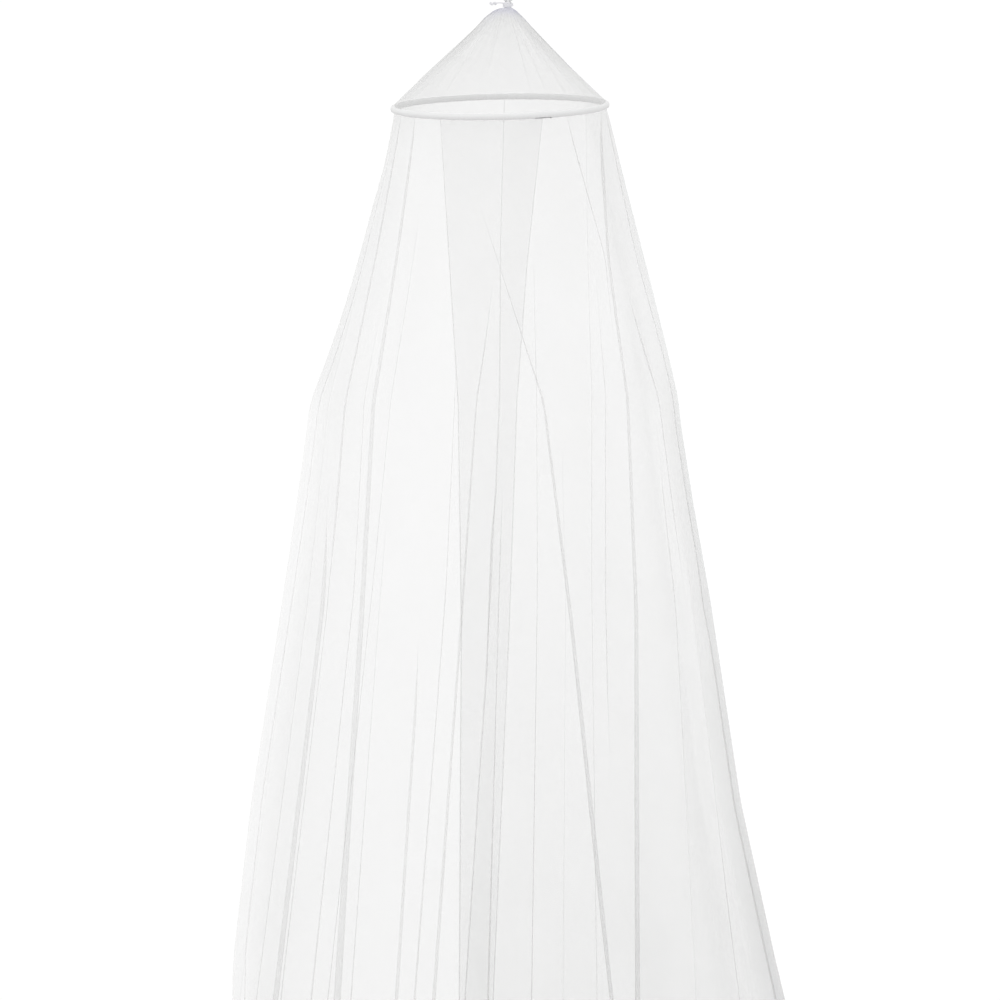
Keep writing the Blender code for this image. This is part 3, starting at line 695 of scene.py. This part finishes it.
def make_panel(node, edge, folds, side, material, thread):
    """One half of the skirt: a single sheet with its folds, turned edges and hem, and its stitches."""
    drops = two_spacings(EDGE_GAP, TOP_ROWS_TO, HEM_DROP, TOP_ROWS, SKIRT_ROWS)
    levels = [level_at(drop) for drop in drops]
    table = [panel_stops(edge, folds, side, level) for level in levels]
    counts = between_stops(table, levels)
    path = [(drop, 0.0) for drop in drops[:-1]] + [(HEM_DROP - BEND * HEM_TURNING, 0.0)]
    path += [(HEM_DROP - share * HEM_TURNING, layer) for share, layer in reversed(TURNED)]
    rows, cover = [], []
    for drop, layer in path:
        level = level_at(drop)
        stops = panel_stops(edge, folds, side, level)
        angles, layers = panel_columns(stops, counts, level, side)
        angles, layers = angles[::side], layers[::side] + layer
        rows.append(skirt_row(level, angles, layers, folds, stops, side))
        cover.append(panel_cover(drop, angles, side))
    panel = dress(grid_object(node + "_net", rows, False, material, cover), "net", node)
    sewn = stitches(node + "_stitches", panel_seams(levels, table, counts, folds, side), thread)
    dress(sewn, "net")


def roof_row(rise, turns):
    """Points round the roof at a rise, with its pleats and small gathers, and its plain radius."""
    rises, *columns = zip(*ROOF)
    radius, swing, aside = [np.interp(rise, rises, column) for column in columns]
    to_hoop = max(0.0, 1.0 - rise / NECK_RISE)
    reach = np.full(len(turns), radius)
    for pleat in ROOF_PLEATS:
        away = np.mod(turns - math.radians(pleat.turn - 90) + math.pi, 2 * math.pi) - math.pi
        reach += pleat.depth * swing * np.exp(-np.abs(away) * radius / pleat.width)
    gathers = min(1.0, PUCKER_RADIUS / radius) * PUCKER_DEPTH * min(1.0, swing * PUCKER_GROWTH)
    reach += gathers * sum(wave.reach * np.sin(wave.count * turns + wave.turn) for wave in PUCKERS)
    x, y = reach * np.cos(turns), reach * np.sin(turns)
    return np.column_stack([x + HOOP_ASIDE * aside, y, rise + hoop_lift(x) * to_hoop - HOOP_DROP]), radius


def roof_cover(rise, radius, turns):
    """How much the net covers round the roof: more where it narrows, and at its left and right."""
    closer = np.interp(radius * (1.0 - np.abs(np.cos(turns))), ROOF_EDGES, ROOF_EDGE_COVERS)
    closer = 1.0 + closer * min(1.0, radius / ROOF_EDGES_FULL)
    most = np.interp(rise, (ROOF[-3].rise, ROOF[-2].rise), (NECK_COVER, LIP_COVER))
    return closer * min(most, NET_LAYER * (ROOF_LAYERS + ROOF_GATHERS / radius))


def make_roof(material):
    """The cone of net from the tied neck down to the hoop."""
    rises = two_spacings(ROOF[0].rise, NECK_ROWS_FROM, ROOF[-1].rise, ROOF_ROWS, NECK_ROWS)
    turns = 2 * math.pi * np.arange(ROOF_COLUMNS) / ROOF_COLUMNS
    rows, cover = [], []
    for rise in rises[::-1]:
        row, radius = roof_row(rise, turns)
        rows.append(row)
        cover.append(roof_cover(rise, radius, turns))
    roof = dress(grid_object("roof_net", rows, True, material, cover), "net", "roof")


def on_hoop(turns, out, up):
    """Points beside the hoop: turned from the front to the right, and out and up from its rod."""
    radius = HOOP_RADIUS + out
    flat = np.column_stack([radius * np.sin(turns), -radius * np.cos(turns), up])
    roll = np.array(Matrix.Rotation(HOOP_ROLL, 3, "Y"))
    return flat @ roll.T + np.array([HOOP_ASIDE, 0, -HOOP_DROP])


def past_joiner(turns):
    """How far along the hoop each turn lies beyond the joiner's end; it is negative on the joiner."""
    return np.abs(turns - JOINER_AT) * HOOP_RADIUS - JOINER_LENGTH / 2


def casing_radius(turns, side):
    """How far the cloth lies from the rod's middle, all round the hoop, at one side of the casing."""
    bulge = JOINER_BULGE * (1.0 - smooth_step(past_joiner(turns) / JOINER_BULGE_OVER))
    wrinkle = (WRINKLE.reach * np.sin(WRINKLE.count * turns + WRINKLE.turn * math.sin(side))
               + FINE_WRINKLE.reach * np.sin(FINE_WRINKLE.count * turns - FINE_WRINKLE.turn * side + 1))
    slack = SLACK.reach * np.sin(SLACK.count * turns + SLACK.turn * math.cos(side))
    return CASING_RADIUS - CASING_INSIDE + bulge + wrinkle + slack


def make_casing(material, thread):
    """The sewn sleeve round the hoop, a little wrinkled, open underneath where the joiner went in."""
    turns = np.linspace(0, 2 * math.pi, CASING_STEPS, endpoint=False)
    sides = np.linspace(0, 2 * math.pi, CASING_SIDES + 1)
    rows = []
    for side in sides:
        radius = casing_radius(turns, side)
        rows.append(on_hoop(turns, radius * math.cos(side), radius * math.sin(side)))
    middles = (sides[:-1] + sides[1:]) / 2 - 2 * math.pi
    under = (middles > SLOT_FROM) & (middles < SLOT_TO)
    skip = under[:, None] & (past_joiner(turns) < 0)[None, :]
    casing = grid_object("casing_sleeve", rows, True, material, skip=skip)
    dress(casing, "casing_cloth", "hoop_casing")
    turns = np.append(turns, 2 * math.pi)
    reach = np.full(len(turns), CASING_RADIUS + CASING_STITCHES_OUT)
    lines = [on_hoop(turns, reach * math.cos(side), reach * math.sin(side)) for side in CASING_SEAMS]
    sewn = dress(stitches("casing_stitches", lines, thread), "casing_cloth")


def smooth_path(points, steps):
    """A Catmull-Rom curve through the points."""
    points = np.asarray(points, float)
    padded = np.vstack([2 * points[0] - points[1], points, 2 * points[-1] - points[-2]])
    result = []
    for place in range(1, len(padded) - 2):
        before, start, end, after = padded[place - 1:place + 3]
        for part in np.linspace(0, 1, steps, endpoint=False):
            result.append(0.5 * (2 * start + (end - before) * part
                                 + (2 * before - 5 * start + 4 * end - after) * part ** 2
                                 + (3 * start - before - 3 * end + after) * part ** 3))
    result.append(points[-1])
    return np.asarray(result)


def cord_end(point, ring):
    """The two rows that close a cord at a point: a smaller ring, and one drawn in to the point."""
    return [point + (ring - point) * CORD_CAP, np.repeat(point[None, :], len(ring), axis=0)]


def twisted_cord(name, path, radius, material):
    """A laid cord along a path, with the grooves between its strands."""
    path = np.asarray(path)
    along = lengths_along(path)
    places = np.linspace(0, along[-1], max(2, round(along[-1] / CORD_STEP) + 1))
    points = points_at(path, along, places)
    forward = np.gradient(points, axis=0)
    forward /= np.linalg.norm(forward, axis=1)[:, None]
    side = np.cross(forward[0], CORD_ASLANT)
    turns = 2 * math.pi * np.arange(CORD_SIDES) / CORD_SIDES
    rows = []
    for point, ahead, place in zip(points, forward, places):
        side = side - ahead * np.dot(side, ahead)
        side /= np.linalg.norm(side)
        other = np.cross(ahead, side)
        twist = turns - 2 * math.pi * place / (CORD_LAY * 2 * radius)
        reach = radius * (1 - CORD_GROOVE + CORD_GROOVE * np.abs(np.cos(CORD_STRANDS * twist / 2)))
        outward = np.cos(turns)[:, None] * side + np.sin(turns)[:, None] * other
        rows.append(point + reach[:, None] * outward)
    start, end = cord_end(points[0], rows[0]), cord_end(points[-1], rows[-1])
    return grid_object(name, start[::-1] + rows + end, True, material)


def knot_path(middle):
    """A cord's way through an overhand knot, as a long trefoil."""
    turns = np.linspace(0, 2 * math.pi, KNOT_STEPS)
    return np.column_stack([
        middle[0] + KNOT_LONG[0] * np.sin(turns) + KNOT_LONG[1] * np.sin(2 * turns),
        middle[1] + KNOT_WIDE[0] * np.cos(turns) - KNOT_WIDE[1] * np.cos(2 * turns),
        middle[2] + KNOT_HIGH * np.sin(3 * turns),
    ])


def make_tie(material):
    """The cord wound round the neck, then its free end with a knot."""
    bottom = NECK_RISE - HOOP_DROP
    radius = NECK_RADIUS + CLOTH / 2 + CLEARANCE + TIE_CORD / 2
    turns = np.linspace(math.radians(TIE_FROM), math.radians(TIE_FROM + 360 * TIE_WOUND), TIE_STEPS)
    rise = np.linspace(TIE_CORD / 2, (TIE_TURNS - 0.5) * TIE_CORD, len(turns))
    wrap = np.column_stack([radius * np.cos(turns), radius * np.sin(turns), bottom + rise])
    tie = twisted_cord("tie_cord", wrap, TIE_CORD / 2, material)
    tail = smooth_path([(x, y, bottom + TAIL_RISE + z) for x, y, z in TAIL], TAIL_STEPS)
    free_end = dress(twisted_cord("tie_tail", tail, TAIL_CORD / 2, material), "cord")
    knot = twisted_cord("tie_knot", knot_path(tail[-1]), TAIL_CORD / 2, material)
    dress(knot, "cord")
    dress(tie, "cord", "tie")


def make_loop(material):
    """The hanging loop: two strands out of the neck that meet over the hook."""
    arc_middle = LOOP_CORD / 2 - LOOP_HALF_WIDTH
    foot = NECK_RISE - HOOP_DROP
    spread_from = ROOF[-1].rise - HOOP_DROP
    parts = np.linspace(0, 1, STRAND_POINTS)
    widths = LOOP_STRAND + (LOOP_HALF_WIDTH - LOOP_STRAND) * smooth_step(parts)
    heights = spread_from + (arc_middle - spread_from) * parts
    right = [(LOOP_STRAND, 0, foot)] + [(width, 0, height) for width, height in zip(widths, heights)]
    arc = [(LOOP_HALF_WIDTH * math.cos(bend), 0, arc_middle + LOOP_HALF_WIDTH * math.sin(bend))
           for bend in np.linspace(0, math.pi, ARC_POINTS)[1:-1]]
    left = [(-x, y, z) for x, y, z in reversed(right)]
    path = smooth_path(right + arc + left, LOOP_STEPS)
    loop = dress(twisted_cord("hanging_loop_cord", path, LOOP_CORD / 2, material), "cord", "hanging_loop")


# --- the scene -----------------------------------------------------------------------------------
def finish_cad(node, material):
    """Give a CAD node that stays in view its finer material."""
    for place in bpy.data.objects[node].material_slots:
        place.material = material


def make_camera():
    """A long lens at the front, level across, looking a little down at the canopy."""
    camera = bpy.data.cameras.new("camera")
    camera.sensor_width = SENSOR
    camera.lens = SENSOR * PIXELS_PER_TANGENT / FRAME_PIXELS
    camera.clip_end = 500.0
    holder = add_to_scene(bpy.data.objects.new("camera", camera))
    holder.location = (HOOP_ASIDE, -CAMERA_AWAY, CAMERA_ABOVE_HOOP - HOOP_DROP)
    holder.rotation_euler = (math.pi / 2 - CAMERA_DOWN, 0, 0)
    bpy.context.scene.camera = holder


def make_floor():
    """A small pale disc below the hem."""
    mesh = bpy.data.meshes.new("floor")
    shape = bmesh.new()
    bmesh.ops.create_circle(shape, cap_ends=True, radius=FLOOR_RADIUS, segments=96)
    shape.to_mesh(mesh)
    shape.free()
    floor = add_to_scene(bpy.data.objects.new("floor", mesh))
    floor.location = (HOOP_ASIDE, 0, CAD_BOX[0][2] - FLOOR_BELOW_HEM)
    build = Nodes("floor")
    build.set(Base_Color=FLOOR_WHITE, Roughness=1.0, Specular_IOR_Level=0.0)
    floor.data.materials.append(build.material)


def make_dome():
    """A white studio dome that lights more from above, and that the camera sees plain white."""
    world = bpy.data.worlds.new("studio")
    world.use_nodes = True
    nodes, links = world.node_tree.nodes, world.node_tree.links
    background = nodes["Background"]
    background.inputs["Color"].default_value = (1, 1, 1, 1)
    place = nodes.new("ShaderNodeTexCoord")
    split = nodes.new("ShaderNodeSeparateXYZ")
    links.new(place.outputs["Generated"], split.inputs[0])
    height = nodes.new("ShaderNodeMapRange")
    height.interpolation_type = "SMOOTHSTEP"
    height.inputs["From Min"].default_value = -DOME_BLEND
    height.inputs["From Max"].default_value = DOME_BLEND
    height.inputs["To Min"].default_value = LOWER_LIGHT
    height.inputs["To Max"].default_value = UPPER_LIGHT
    links.new(split.outputs["Z"], height.inputs["Value"])
    path = nodes.new("ShaderNodeLightPath")
    seen = nodes.new("ShaderNodeMix")
    links.new(path.outputs["Is Camera Ray"], seen.inputs["Factor"])
    links.new(height.outputs["Result"], seen.inputs["A"])
    seen.inputs["B"].default_value = SEEN_LIGHT
    links.new(seen.outputs["Result"], background.inputs["Strength"])
    bpy.context.scene.world = world


def make_sun():
    """One broad soft light from the upper left."""
    sun = bpy.data.lights.new("overhead", "SUN")
    sun.energy = SUN_STRENGTH
    sun.angle = SUN_WIDTH
    holder = add_to_scene(bpy.data.objects.new("overhead", sun))
    holder.rotation_euler = SUN_LEAN


def set_view():
    """Plain colours, and light that passes through every layer of the net."""
    bpy.context.scene.view_settings.view_transform = "Standard"
    bpy.context.scene.cycles.transparent_max_bounces = LAYERS_SEEN_THROUGH


def main():
    make_camera()
    make_floor()
    make_dome()
    make_sun()
    set_view()
    net = net_material()
    cord = cord_material("white_cord", CORD_WHITE)
    make_tie(cord)
    make_loop(cord)
    make_roof(net)
    thread = cord_material("white_thread", THREAD_WHITE)
    make_panel("left_panel", LEFT_EDGE, LEFT_FOLDS, LEFT, net, thread)
    make_panel("right_panel", RIGHT_EDGE, RIGHT_FOLDS, RIGHT, net, thread)
    make_casing(woven_material("casing_cloth", CASING_WHITE, CASING_PITCH, roughness=0.7), thread)
    finish_cad("hoop", plastic_material("hoop_rod", ROD_WHITE, roughness=0.4))
    finish_cad("hoop_joiner", plastic_material("joiner", JOINER_GREY, roughness=0.45))


main()
